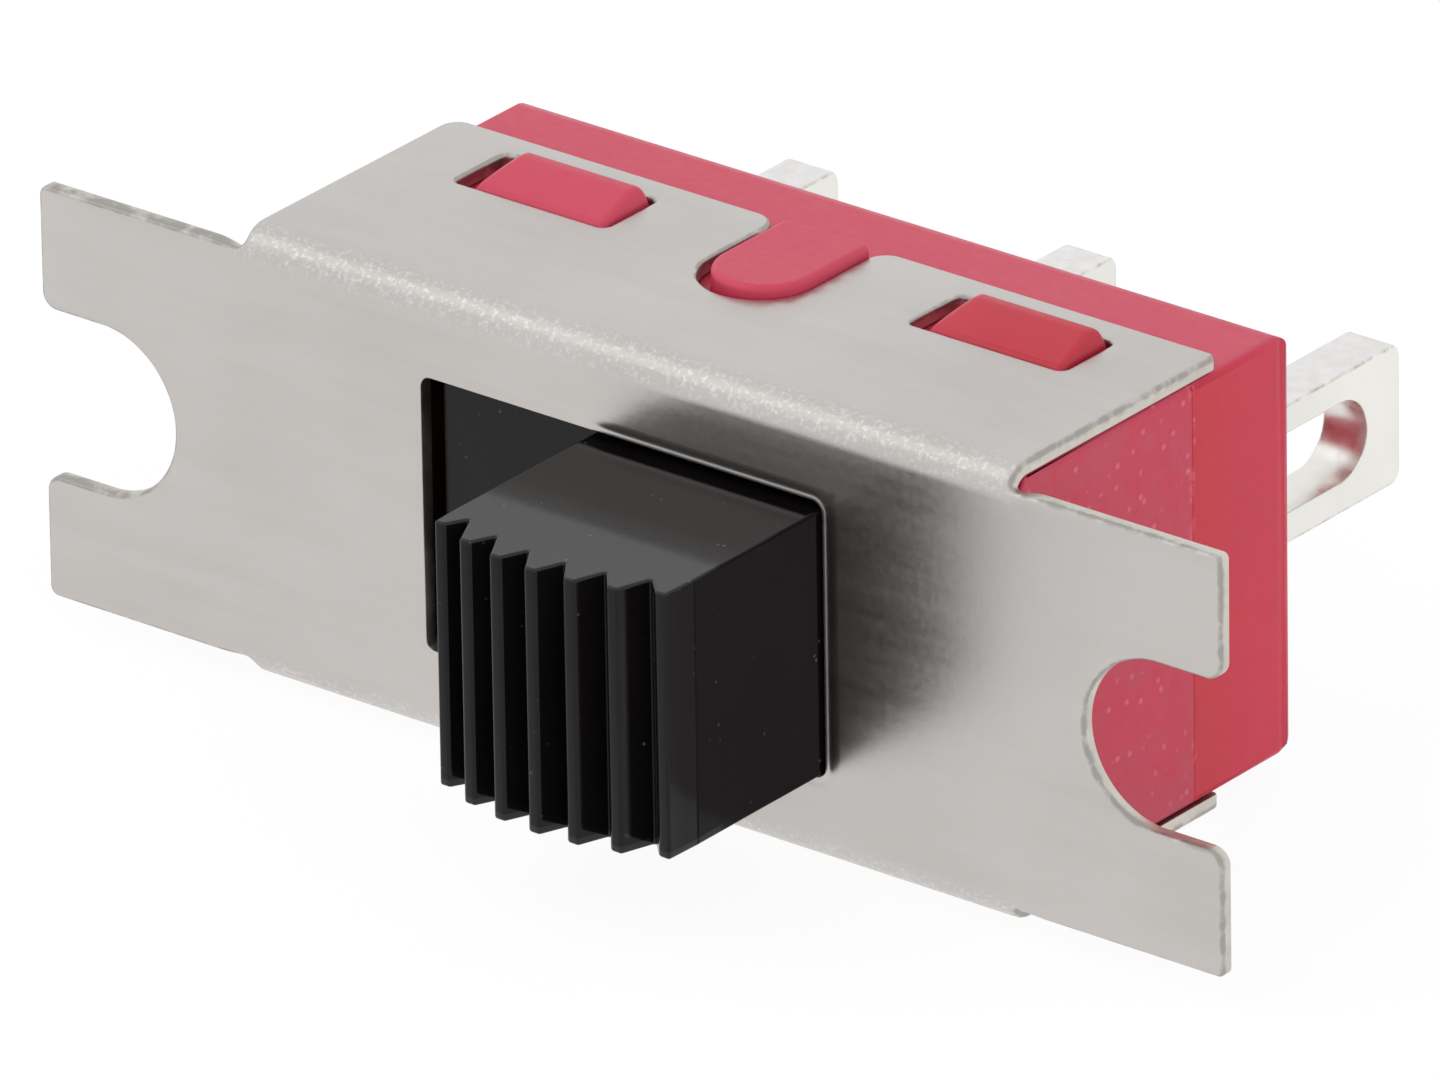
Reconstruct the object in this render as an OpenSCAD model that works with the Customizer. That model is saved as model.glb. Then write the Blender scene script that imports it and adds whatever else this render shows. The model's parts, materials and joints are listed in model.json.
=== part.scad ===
// Panel slide switch, single pole, two positions.
// A folded sheet bracket holds a moulded case by four snap ramps. A ribbed knob slides in the bracket's window.
// X is the way the knob slides, -Y points out of the panel, and Z runs across the two flanges.
// The origin is the middle of the bracket's front face.

/* [Bracket sheet] */
// Thickness of the sheet
sheet_t = 0.22; // [0.16:0.01:0.3]
// Length over both ears
bracket_l = 19.6; // [18.5:0.1:23]
// Height of the ears
ear_h = 6.0; // [4.6:0.1:6.1]
// Corner radius of the left ear
ear_corner_r = 0.15; // [0.05:0.05:0.6]
// Corner radius of the right ear and flange ends, where the stamping was cut from its strip
cut_corner_r = 0.05; // [0.05:0.05:0.6]
// Length of the channel that holds the case
channel_l = 12.7; // [12.4:0.1:14]
// Height over both flanges
channel_h = 6.55; // [6.35:0.05:7.4]
// Depth of the flanges behind the front face
flange_d = 4.5; // [4.3:0.1:5.2]
// Corner radius at the back of the flanges' left ends
flange_corner_r = 0.3; // [0.1:0.05:0.8]
// Inside radius of the two folds
bend_r = 0.25; // [0.1:0.05:0.4]

/* [Bracket openings] */
// Width of the knob's window
window_w = 6.66; // [6.6:0.02:6.8]
// Height of the knob's window
window_h = 3.96; // [3.7:0.02:4.4]
// Corner radius of the knob's window
window_r = 0.15; // [0.05:0.01:0.2]
// Width of the mounting notch in each ear
notch_w = 2.43; // [1.8:0.01:3]
// Distance between the centres of the two mounting notches
notch_pitch = 17.56; // [16.5:0.02:18]
// Radius of the lips at the mouth of each notch
notch_lip_r = 0.25; // [0.05:0.05:0.5]
// Distance of each snap window from the middle
snap_x = 3.79; // [3.3:0.01:4.3]
// Width of a snap window
snap_w = 2.55; // [2.2:0.05:3]
// Front edge of the snap windows
snap_front = 2.89; // [2.5:0.01:3]
// Depth of a snap window
snap_d = 1.12; // [0.9:0.01:1.2]
// Corner radius of a snap window
snap_r = 0.12; // [0.04:0.01:0.3]
// Width of the key notch in each flange
key_w = 1.66; // [1.3:0.02:2.2]
// Front end of the key notch
key_front = 2.17; // [1.6:0.01:2.6]
// Radius at the mouth of the key notch
key_mouth_r = 0.35; // [0.05:0.05:0.6]

/* [Case] */
// Depth of the case's back behind the bracket's front face
case_back = 6.15; // [5.9:0.05:7]
// Gap between the case and each flange
case_gap = 0.025; // [0.01:0.005:0.08]
// Radius of the case's long back edges
case_edge_r = 0.45; // [0.1:0.05:0.5]
// Radius of the edges between the case's back and its ends
case_corner_r = 0.4; // [0.1:0.05:0.5]
// Radius of the long edges of the case's ends
case_end_r = 0.12; // [0.04:0.01:0.2]
// Depth at which the case's ends step in to the front part
case_step_y = 3.98; // [3.2:0.02:4.4]
// How far the front part's ends stand back
case_step = 0.04; // [0.01:0.01:0.1]
// Thickness of the end walls beside the slider plate
end_wall = 0.4; // [0.3:0.05:0.5]
// Thickness of the end walls beside the contacts
inner_wall = 1.0; // [0.8:0.05:1.1]
// Height of the contact chamber
chamber_h = 3.0; // [2.7:0.05:3.6]
// How far the ramps and the key boss stand to the right of their openings' middles
snap_shift = 0.1; // [0:0.01:0.12]
// Width of a snap ramp at its foot
ramp_w = 2.2; // [1.6:0.05:2.3]
// Gap in front of and behind a snap ramp
ramp_gap = 0.05; // [0.02:0.01:0.12]
// How far a snap ramp stands out of the flange
ramp_rise = 0.17; // [0.1:0.01:0.3]
// Depth of the flat top of a snap ramp
ramp_flat = 0.26; // [0.1:0.01:0.4]
// Slant of a snap ramp's ends
ramp_end = 0.14; // [0.02:0.01:0.3]
// Width of the key boss
boss_w = 1.46; // [1.1:0.02:1.46]
// Back end of the key boss
boss_back = 4.27; // [3.8:0.01:4.4]
// How far the key boss stands out of the flange
boss_rise = 0.14; // [0.05:0.01:0.3]
// Width of the chamfer round the key boss
boss_chamfer = 0.06; // [0.02:0.01:0.12]

/* [Actuator] */
// Travel of the knob from end to end
travel = 2.72; // [2.4:0.02:2.76]
// Width of the knob
knob_w = 3.86; // [3.82:0.01:3.88]
// Gap between the knob and the window above and below
knob_gap = 0.08; // [0.06:0.01:0.12]
// How far the crown of the knob stands out of the bracket
knob_out = 3.6; // [3.3:0.02:5]
// Radius of the knob's crown, seen from above
crown_r = 4.2; // [3.4:0.1:8]
// Number of ribs on the knob
rib_count = 7; // [5:1:7]
// Distance between ribs
rib_pitch = 0.607; // [0.55:0.001:0.612]
// Width of the flat on top of a rib
rib_land = 0.17; // [0.08:0.01:0.19]
// Depth of the grooves between ribs
rib_depth = 0.42; // [0.2:0.01:0.55]
// Width of the steep side of a groove
rib_steep = 0.17; // [0.1:0.01:0.24]
// Length of the slanted face beside each end rib
rib_side = 0.56; // [0.3:0.02:0.8]
// Thickness of the slider plate
plate_t = 1.0; // [0.7:0.05:1.1]
// Height of the slider plate
plate_h = 5.0; // [4.6:0.05:5.1]
// Gap round the slider plate
plate_gap = 0.05; // [0.03:0.01:0.06]
// Share of its play by which the slider has sunk towards -Z, as the switch lies
slider_sag = 0.8; // [0:0.1:0.8]
// Radius of the round hub behind the slider plate
hub_r = 1.3; // [1.1:0.05:1.32]
// Length of the hub
hub_l = 1.08; // [0.8:0.02:1.1]
// Radius of the plunger's bore
bore_r = 0.75; // [0.74:0.01:0.8]
// Depth of the bore in front of the bracket's face
bore_out = 2.3; // [1.8:0.05:2.4]

/* [Plunger and spring] */
// Radius of the plunger
plunger_r = 0.7; // [0.66:0.01:0.72]
// Gap between the plunger's nose and the rocker
nose_gap = 0.06; // [0.045:0.005:0.08]
// Depth of the shoulder that the spring pushes on
shoulder_y = 1.0; // [0.8:0.05:1.3]
// Radius of the plunger's tail inside the spring
tail_r = 0.38; // [0.3:0.01:0.4]
// Length of the plunger's tail
tail_l = 0.7; // [0.4:0.05:1]
// Mean radius of the spring
spring_r = 0.56; // [0.54:0.01:0.58]
// Thickness of the spring wire
wire_d = 0.16; // [0.1:0.01:0.17]
// Number of turns of the spring
spring_turns = 7; // [5:1:9]
// Gap at each end of the spring
spring_gap = 0.02; // [0.01:0.01:0.05]

/* [Terminals and contacts] */
// Gap between each end terminal and the end of the contact chamber
blade_end_gap = 0.27; // [0.2:0.01:0.4]
// Thickness of a terminal blade
blade_t = 0.76; // [0.6:0.01:0.8]
// Width of a terminal blade
blade_w = 2.03; // [1.8:0.01:2.2]
// Depth of the terminals' tips behind the bracket's front face
tip_y = 10.16; // [9.6:0.02:12]
// Corner radius of the terminals' tips
tip_r = 0.2; // [0.05:0.01:0.5]
// Width of the wire slot
slot_w = 1.16; // [0.8:0.02:1.4]
// Length of the wire slot
slot_l = 2.5; // [1.6:0.05:2.8]
// Distance from the tip to the end of the wire slot
slot_end = 0.7; // [0.5:0.02:0.9]
// Gap between a terminal and its slot in the case
blade_gap = 0.02; // [0.01:0.005:0.05]
// Depth of the rocker's pivot behind the bracket's front face
pivot_y = 4.0; // [3.96:0.02:4.16]
// Tilt of the rocker at each end of the travel, in degrees
tilt = 6; // [5:0.5:6.5]
// Gap between the rocker's seat and the centre terminal
seat_gap = 0.03; // [0.02:0.01:0.06]
// Thickness of the rocker
rocker_t = 0.35; // [0.25:0.01:0.4]
// Width of the rocker
rocker_w = 2.0; // [1.6:0.05:2.2]
// How far each arm of the rocker reaches past the middle of its contact
arm_past = 0.3; // [0.1:0.05:0.4]
// Thickness of the lips that hold the rocker on its pivot
lip_t = 0.3; // [0.2:0.01:0.32]
// Distance from the pivot to the ends of the lips
lip_y = 0.2; // [0.15:0.01:0.3]
// Gap between the closed rocker and the end contact
contact_gap = 0.02; // [0.01:0.005:0.04]
// How far the end contacts stand in from their terminals' middles
contact_in = 0.5; // [0.4:0.05:0.7]
// Radius of an end contact's head
contact_r = 0.55; // [0.4:0.01:0.6]
// Thickness of an end contact's head
contact_t = 0.24; // [0.15:0.01:0.3]
// Radius of the dome on an end contact's head
contact_dome_r = 2.2; // [1.2:0.1:4]
// Radius of an end contact's shank
shank_r = 0.28; // [0.2:0.01:0.34]
// Length of an end contact's shank
shank_l = 0.5; // [0.3:0.02:0.6]
// How far each end pad reaches in past the middle of its contact
pad_past = 0.7; // [0.6:0.05:0.9]
// Outside radius of the end terminals' folds
elbow_r = 0.4; // [0.1:0.05:0.7]

/* [Terminal seals] */
// Size of a seal along the switch
seal_w = 1.8; // [1.4:0.05:2.4]
// Size of a seal across the switch
seal_h = 3.1; // [2.7:0.05:3.8]
// Depth of a seal
seal_t = 0.5; // [0.3:0.02:0.6]
// Corner radius of a seal
seal_r = 0.3; // [0.1:0.05:0.5]

/* [Hidden] */
$fn = 48;
cut = 1;                                            // how far a cutting shape runs past what it cuts
outer_r = bend_r + sheet_t;                         // outside radius of the folds
case_l = channel_l;
case_h = channel_h - 2 * (sheet_t + case_gap);
plate_y = sheet_t + plate_gap;                      // front of the slider plate
rail_y = plate_y + plate_t + plate_gap;             // rails behind the slider plate
recess_l = case_l - 2 * end_wall;                   // recess that the slider plate runs in
recess_h = plate_h + 2 * plate_gap;
plate_l = recess_l - travel - 2 * plate_gap;
at_rest = [travel / 2, 0, -slider_sag * plate_gap]; // the slider rests at the right end of its travel
knob_h = window_h - 2 * knob_gap;
chamber_l = case_l - 2 * inner_wall;
lug_pitch = chamber_l / 2 - blade_end_gap - blade_t / 2;
contact_x = lug_pitch - contact_in;
pad_x = contact_x - pad_past;                       // inner edge of the end terminals' pads
arm_l = contact_x + arm_past;                       // length of each arm of the rocker
fulcrum_r = blade_t / 2;
seat_r = fulcrum_r + seat_gap;
valley = seat_r + rocker_t;                         // from the pivot to the front of the rocker
arm_front = pivot_y - valley * cos(tilt);           // front face of the closed arm, level at rest
contact_y = arm_front + rocker_t + contact_gap;     // top of the end contacts
pad_y = contact_y + contact_t;                      // top of the end terminals' pads
floor_y = pad_y + blade_t;                          // floor of the contact chamber
nose_y = arm_front - nose_gap;                      // tip of the plunger
spring_y0 = -bore_out + spring_gap;
spring_y1 = shoulder_y - spring_gap;
ramp_back = snap_front + snap_d - ramp_gap;

// Rectangle about the middle with rounded corners
module round_rect(w, h, r) {
    square([w - 2 * r, h], center = true);
    square([w, h - 2 * r], center = true);
    for (sx = [-1, 1], sy = [-1, 1])
        translate([sx * (w / 2 - r), sy * (h / 2 - r)]) circle(r);
}

// Straight slot with round ends, about the middle
module round_slot(l, w) {
    square([l - w, w], center = true);
    for (s = [-1, 1]) translate([s * (l - w) / 2, 0]) circle(d = w);
}

// The waste that rounds off a corner at the origin, where the material lies towards -x and +y
module corner_waste(r) {
    difference() {
        translate([-r, -cut]) square([r + cut, r + cut]);
        translate([-r, r]) circle(r);
    }
}

// Extrudes an outline drawn in x and z, from depth y to y + t
module from_front(y, t) {
    translate([0, y + t, 0]) rotate([90, 0, 0]) linear_extrude(t) children();
}

// Extrudes an outline drawn in y and z along x, about the middle
module along_x(l) {
    translate([-l / 2, 0, 0]) rotate([90, 0, 90]) linear_extrude(l) children();
}

// Extrudes an outline drawn in x and y along z, about the middle
module along_z(h) {
    translate([0, 0, -h / 2]) linear_extrude(h) children();
}

// Cylinder along +y from depth y
module rod(r, y, l) {
    translate([0, y, 0]) rotate([-90, 0, 0]) cylinder(r = r, h = l);
}

// Box with its front at depth y, about the middle in x and z
module front_box(w, h, y, t) {
    translate([-w / 2, y, -h / 2]) cube([w, t, h]);
}

// Section of the channel, solid, with its front at y and rounded front corners
module channel_section(y, h, r, back) {
    translate([y + r, -h / 2]) square([back - y - r, h]);
    translate([y, r - h / 2]) square([back - y, h - 2 * r]);
    for (s = [-1, 1]) translate([y + r, s * (h / 2 - r)]) circle(r);
}

// Outline with rounded back corners, drawn in x and y, from y = front to y = back
module back_rounded(w, front, back, r) {
    translate([-w / 2, front]) square([w, back - front - r]);
    translate([r - w / 2, front]) square([w - 2 * r, back - front]);
    for (s = [-1, 1]) translate([s * (w / 2 - r), back - r]) circle(r);
}

module ear_notch() {
    reach = bracket_l / 2 + cut - notch_pitch / 2;
    translate([notch_pitch / 2, 0]) circle(d = notch_w);
    translate([notch_pitch / 2, -notch_w / 2]) square([reach, notch_w]);
    for (s = [0, 1]) mirror([0, s]) translate([bracket_l / 2, notch_w / 2]) corner_waste(notch_lip_r);
}

module key_notch() {
    translate([0, key_front + key_w / 2]) circle(d = key_w);
    translate([-key_w / 2, key_front + key_w / 2]) square([key_w, flange_d + cut - key_front - key_w / 2]);
    for (s = [0, 1]) mirror([s, 0]) translate([key_w / 2, flange_d]) rotate(180) corner_waste(key_mouth_r);
}

module flange_openings() {
    key_notch();
    for (s = [-1, 1]) translate([s * snap_x, snap_front + snap_d / 2]) round_rect(snap_w, snap_d, snap_r);
    translate([channel_l / 2, flange_d]) mirror([0, 1]) corner_waste(cut_corner_r);
    translate([-channel_l / 2, flange_d]) rotate(180) corner_waste(flange_corner_r);
}

module bracket() {
    color([0.76, 0.75, 0.73]) {
        difference() {
            along_x(channel_l) difference() {
                channel_section(0, channel_h, outer_r, flange_d);
                channel_section(sheet_t, channel_h - 2 * sheet_t, bend_r, flange_d + cut);
            }
            along_z(channel_h + 2 * cut) flange_openings();
            from_front(-cut, sheet_t + 2 * cut) round_rect(window_w, window_h, window_r);
        }
        from_front(0, sheet_t) difference() {
            square([bracket_l, ear_h], center = true);
            for (s = [0, 1]) mirror([0, s]) {
                translate([-channel_l / 2, channel_h / 2 - outer_r]) square([channel_l, ear_h]);
                translate([bracket_l / 2, -ear_h / 2]) corner_waste(cut_corner_r);
                translate([-bracket_l / 2, -ear_h / 2]) mirror([1, 0]) corner_waste(ear_corner_r);
            }
            for (s = [0, 1]) mirror([s, 0]) ear_notch();
            round_rect(window_w, window_h, window_r);
        }
    }
}

// One snap ramp on the case's top, rising towards the back, with a steep back face
module snap_ramp() {
    flange_z = channel_h / 2;
    front = snap_front + ramp_gap;
    top = flange_z + ramp_rise;
    intersection() {
        along_x(ramp_w) polygon([[front, 0], [front, flange_z - case_gap], [ramp_back - ramp_flat, top],
                                 [ramp_back, top], [ramp_back, 0]]);
        from_front(0, case_back) polygon([[-ramp_w / 2, 0], [-ramp_w / 2, flange_z - case_gap],
            [ramp_end - ramp_w / 2, top], [ramp_w / 2 - ramp_end, top], [ramp_w / 2, flange_z - case_gap],
            [ramp_w / 2, 0]]);
    }
}

// The round-nosed boss that keys the case in the flange's notch, with a chamfer round its top
module key_boss() {
    r = boss_w / 2;
    y = key_front + key_w / 2;
    top = channel_h / 2 + boss_rise;
    shoulder = top - boss_chamfer;
    translate([0, y, 0]) {
        cylinder(r = r, h = shoulder);
        translate([0, 0, shoulder]) cylinder(r1 = r, r2 = r - boss_chamfer, h = boss_chamfer);
    }
    from_front(y, boss_back - y) polygon([[-r, 0], [-r, shoulder], [boss_chamfer - r, top],
                                          [r - boss_chamfer, top], [r, shoulder], [r, 0]]);
}

module case_body() {
    chamfer = bend_r + case_gap;
    back_of_chamfer = sheet_t + chamfer;
    section_z = case_h / 2;
    difference() {
        intersection() {
            along_x(case_l + cut) union() {
                polygon([[sheet_t, chamfer - section_z], [back_of_chamfer, -section_z],
                         [back_of_chamfer, section_z], [sheet_t, section_z - chamfer]]);
                translate([back_of_chamfer, -section_z])
                    square([case_back - case_edge_r - back_of_chamfer, case_h]);
                translate([back_of_chamfer, case_edge_r - section_z])
                    square([case_back - back_of_chamfer, case_h - 2 * case_edge_r]);
                for (s = [-1, 1]) translate([case_back - case_edge_r, s * (section_z - case_edge_r)])
                    circle(case_edge_r);
            }
            along_z(case_h + cut) {
                back_rounded(case_l, case_step_y, case_back, case_corner_r);
                translate([case_step - case_l / 2, 0]) square([case_l - 2 * case_step, case_step_y + cut]);
            }
        }
        for (s = [0, 1], m = [0, 1]) mirror([s, 0, 0]) mirror([0, 0, m]) from_front(-cut, case_back + 2 * cut)
            translate([case_l / 2, -section_z]) corner_waste(case_end_r);
    }
}

module blade_slots() {
    for (i = [-1:1]) translate([i * lug_pitch, 0, 0]) {
        front_box(blade_t + 2 * blade_gap, blade_w + 2 * blade_gap, floor_y - cut, case_back - floor_y + cut);
        from_front(case_back - seal_t, seal_t + cut) round_rect(seal_w, seal_h, seal_r);
    }
}

module case() {
    color([0.78, 0.24, 0.3]) difference() {
        union() {
            case_body();
            translate([snap_shift, 0, 0]) for (m = [0, 1]) mirror([0, 0, m]) {
                key_boss();
                for (s = [-1, 1]) translate([s * snap_x, 0, 0]) snap_ramp();
            }
        }
        front_box(recess_l, recess_h, 0, rail_y);
        front_box(chamber_l, chamber_h, rail_y - cut, floor_y - rail_y + cut);
        blade_slots();
    }
}

// Depth of the knob's crown at x, measured from the knob's middle
function crown(x) = -knob_out + crown_r - sqrt(crown_r * crown_r - x * x);
function rib_x(i) = (i - (rib_count - 1) / 2) * rib_pitch;

// The knob seen from above, with its ribs
module knob_outline() {
    last = rib_count - 1;
    edge = rib_land / 2;
    ribs = [for (i = [0:last]) each concat(
        [[rib_x(i) - edge, crown(rib_x(i))], [rib_x(i) + edge, crown(rib_x(i))]],
        i < last ? [[rib_x(i) + edge + rib_steep, crown(rib_x(i) + edge + rib_steep) + rib_depth]] : [])];
    side_y = crown(rib_x(last)) + rib_side;
    polygon(concat([[-knob_w / 2, plate_y + plate_t / 2], [-knob_w / 2, side_y]], ribs,
                   [[knob_w / 2, side_y], [knob_w / 2, plate_y + plate_t / 2]]));
}

module actuator() {
    color([0.17, 0.165, 0.17]) translate(at_rest) difference() {
        union() {
            along_z(knob_h) knob_outline();
            front_box(plate_l, plate_h, plate_y, plate_t);
            rod(hub_r, plate_y + plate_t / 2, plate_t / 2 + hub_l);
        }
        rod(bore_r, -bore_out, bore_out + rail_y + hub_l + cut);
    }
}

module plunger() {
    centre_y = nose_y - plunger_r;
    color([0.85, 0.82, 0.72]) translate(at_rest) {
        rod(plunger_r, shoulder_y, centre_y - shoulder_y);
        rod(tail_r, shoulder_y - tail_l, tail_l + plunger_r);
        translate([0, centre_y, 0]) rotate([-90, 0, 0]) rotate_extrude() intersection() {
            circle(plunger_r);
            square(plunger_r);
        }
    }
}

// Coil of round wire, its centre line a helix about the y axis
module contact_spring() {
    sides = 8;
    steps = 16 * spring_turns;
    wire_r = wire_d / 2;
    rise = spring_y1 - spring_y0 - wire_d;
    ring = [for (i = [0:steps]) let (a = 360 * spring_turns * i / steps) [for (j = [0:sides - 1])
        let (b = 360 * j / sides, r = spring_r + wire_r * cos(b))
        [r * cos(a), spring_y0 + wire_r + rise * i / steps + wire_r * sin(b), r * sin(a)]]];
    points = [for (r = ring) each r];
    walls = [for (i = [0:steps - 1], j = [0:sides - 1]) let (k = (j + 1) % sides)
        [i * sides + j, i * sides + k, (i + 1) * sides + k, (i + 1) * sides + j]];
    caps = [[for (j = [sides - 1:-1:0]) j], [for (j = [0:sides - 1]) steps * sides + j]];
    color([0.62, 0.62, 0.64]) translate(at_rest) polyhedron(points, concat(walls, caps), convexity = 10);
}

// The rocker seen from above, about its pivot: two arms in a shallow V, and lips round the pivot
module rocker_outline() {
    end_x = arm_l * cos(tilt);
    end_y = -valley - arm_l * sin(tilt);
    back = [rocker_t * sin(tilt), rocker_t * cos(tilt)];
    difference() {
        union() {
            polygon([[0, -valley], [end_x, end_y], [end_x + back.x, end_y + back.y],
                     [0, rocker_t / cos(tilt) - valley], [-end_x - back.x, end_y + back.y], [-end_x, end_y]]);
            intersection() {
                circle(seat_r + lip_t);
                translate([-valley, -valley]) square([2 * valley, valley - lip_y]);
            }
        }
        circle(seat_r);
    }
}

module rocker_contact() {
    color([0.86, 0.85, 0.82]) translate([0, pivot_y, 0]) rotate([0, 0, tilt])
        along_z(rocker_w) rocker_outline();
}

// Blade of a terminal seen from its side, in y and z, from depth y to the tip, with its wire slot
module blade_side(y) {
    difference() {
        mirror([1, -1]) back_rounded(blade_w, y, tip_y, tip_r);
        translate([tip_y - slot_end - slot_l / 2, 0]) round_slot(slot_l, slot_w);
    }
}

// An end terminal seen from above: the blade, and the pad that is folded in from it
module folded_blade() {
    outside = lug_pitch + blade_t / 2;
    difference() {
        union() {
            translate([pad_x, pad_y]) square([outside - pad_x, blade_t]);
            translate([outside - blade_t, pad_y]) square([blade_t, tip_y - pad_y]);
        }
        translate([outside, pad_y]) corner_waste(elbow_r);
    }
}

module end_terminal(flip) {
    color([0.9, 0.89, 0.87]) mirror([flip, 0, 0]) difference() {
        intersection() {
            along_z(blade_w) folded_blade();
            along_x(bracket_l) blade_side(pad_y);
        }
        translate([contact_x, 0, 0]) rod(shank_r, pad_y - cut, shank_l + cut);
    }
}

module terminal_left() { end_terminal(1); }

module terminal_right() { end_terminal(0); }

module terminal_centre() {
    color([0.9, 0.89, 0.87]) {
        along_x(blade_t) blade_side(pivot_y);
        translate([0, pivot_y, 0]) along_z(blade_w) circle(fulcrum_r);
    }
}

module end_contact(side) {
    color([0.93, 0.92, 0.9]) translate([side * contact_x, 0, 0]) {
        intersection() {
            rod(contact_r, contact_y, contact_t);
            translate([0, contact_y + contact_dome_r, 0]) sphere(contact_dome_r);
        }
        rod(shank_r, contact_y + contact_t / 2, contact_t / 2 + shank_l);
    }
}

module end_contact_left() { end_contact(-1); }

module end_contact_right() { end_contact(1); }

module terminal_seal(i) {
    color([0.45, 0.12, 0.14]) translate([i * lug_pitch, 0, 0]) difference() {
        from_front(case_back - seal_t, seal_t) round_rect(seal_w, seal_h, seal_r);
        front_box(blade_t, blade_w, 0, tip_y);
    }
}

module terminal_seal_left() { terminal_seal(-1); }

module terminal_seal_centre() { terminal_seal(0); }

module terminal_seal_right() { terminal_seal(1); }

bracket();
case();
actuator();
plunger();
contact_spring();
rocker_contact();
terminal_left();
terminal_centre();
terminal_right();
end_contact_left();
end_contact_right();
terminal_seal_left();
terminal_seal_centre();
terminal_seal_right();
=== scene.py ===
"""Looks of the slide switch: satin folded bracket, red moulded case, black ribbed knob, silver lugs."""

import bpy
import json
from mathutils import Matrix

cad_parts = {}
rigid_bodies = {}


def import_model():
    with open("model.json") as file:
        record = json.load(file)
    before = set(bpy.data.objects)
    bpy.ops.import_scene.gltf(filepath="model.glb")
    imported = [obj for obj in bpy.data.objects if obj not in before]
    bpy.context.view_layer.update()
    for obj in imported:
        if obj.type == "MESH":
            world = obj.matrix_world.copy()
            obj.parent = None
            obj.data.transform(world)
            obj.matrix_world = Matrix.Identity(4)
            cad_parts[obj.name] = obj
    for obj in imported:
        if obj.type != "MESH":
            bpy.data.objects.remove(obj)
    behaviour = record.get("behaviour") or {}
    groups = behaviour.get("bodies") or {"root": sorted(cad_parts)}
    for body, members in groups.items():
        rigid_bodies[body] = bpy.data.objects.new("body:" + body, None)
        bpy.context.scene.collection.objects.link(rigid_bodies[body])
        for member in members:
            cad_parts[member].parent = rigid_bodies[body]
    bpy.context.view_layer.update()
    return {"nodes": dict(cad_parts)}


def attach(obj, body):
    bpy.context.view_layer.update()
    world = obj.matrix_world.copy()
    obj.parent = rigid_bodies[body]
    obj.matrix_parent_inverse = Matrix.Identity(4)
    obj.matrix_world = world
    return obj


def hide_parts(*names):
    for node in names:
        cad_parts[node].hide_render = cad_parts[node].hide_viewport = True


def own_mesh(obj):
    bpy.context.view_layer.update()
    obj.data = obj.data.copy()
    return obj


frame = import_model()

import json
import math

import bmesh
import bpy
import numpy as np
from mathutils import Matrix, Vector
from mathutils.geometry import delaunay_2d_cdt

MM = 0.001

# Sizes of the solids, in millimetres, as the construction has them
FLOOR_Z = -3.445
CASE_END_X = 6.35
CASE_STEP_Y = 3.98
CASE_CORNER = {"back": 6.15, "radius": 0.4, "half_height": 3.03, "end_edge": 0.12}
LUG = {"half_width": 1.015, "tip": 10.16}

SHEET = 0.22
BLANK = {"half_length": 9.8, "ear_top": 3.0, "half_channel": 6.35, "relief_r": 0.14, "flange_back": 4.5,
         "notch_x": 8.78, "notch_r": 1.215, "notch_lip": 0.25, "key_half": 0.83, "key_centre": 3.0,
         "key_mouth": 0.35}
LEFT_CORNERS = {"ear": 0.15, "flange": 0.3}
CUT_CORNERS = {"ear": 0.09, "flange": 0.09}
WINDOW = {"width": 6.66, "height": 3.96, "corner": 0.15}
SNAP = {"x": 3.79, "width": 2.55, "front": 2.89, "depth": 1.12, "corner": 0.12}
FOLD = {"Fold Start": 2.805, "Fold Radius": 0.47, "Ear Start": 6.35, "Relief": 0.5}

AT_REST = (1.36, 0.0, -0.04)
KNOB = {
    "Width": 3.86, "Height": 3.80, "Reach": 3.6, "Crown Radius": 4.2, "Pitch": 0.607, "Land": 0.17,
    "Steep": 0.17, "Depth": 0.42, "Side": 0.56, "Plate Front": 0.27, "Plate Thickness": 1.0,
    "Plate Length": 9.08, "Plate Height": 5.0, "Hub Radius": 1.3, "Hub Back": 2.35, "Bore Radius": 0.75,
    "Bore Front": 2.3,
}
KNOB_RIBS = 7
SPRING = {"Mean Radius": 0.56, "Wire": 0.16, "Front": -2.28, "Back": 0.98}
SPRING_TURNS = 7

# Sizes that only the looks have, in millimetres: rims, softened edges, and where a finish changes
ROLL_WIDTH, ROLL_DEPTH, ROLL_LAND, INNER_ROUND = 0.07, 0.07, 0.02, 0.02
WINDOW_LIP = [(0.12, 0.0), (0.09, 0.018), (0.055, 0.009), (0.02, 0.0), (0.005, 0.005), (0.0, 0.02)]
WITNESS = {"Half Width": 1.93, "Depth": -2.61, "Length": 4.2, "Size": 0.022}
SOFT = {"case": 0.035, "ramp": 0.09, "knob": 0.045, "lug": 0.04, "seal": 0.03, "contact": 0.06, "rocker": 0.03,
        "plunger": 0.03}
RAMP_START = {"height": 3.15, "x": 2.0}
CRISPER_CORNER = 0.22
FINE_STEP = 0.004
STEP_STRIP_Y = 3.96
CAVITY = {"x": 6.0, "y": 5.0, "height": 2.75}
# Where the painted sheen on the knob's top ends, in depth
KNOB_SHEEN_END = -2.12

# How dull the sheet's rolled rim is, level by level from its front: on the right, where it was cut, and on the left
RIM_RIGHT = (0.0, 0.4, 0.8, 1.0, 1.0, 0.6, 0.0, 0.0, 0.0, 0.0, 0.0)
RIM_LEFT = (0.0, 0.8, 1.0, 1.0, 1.0, 1.0, 0.6, 0.0, 0.0, 0.0, 0.0)
SHEARED_LEVEL = 4
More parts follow.
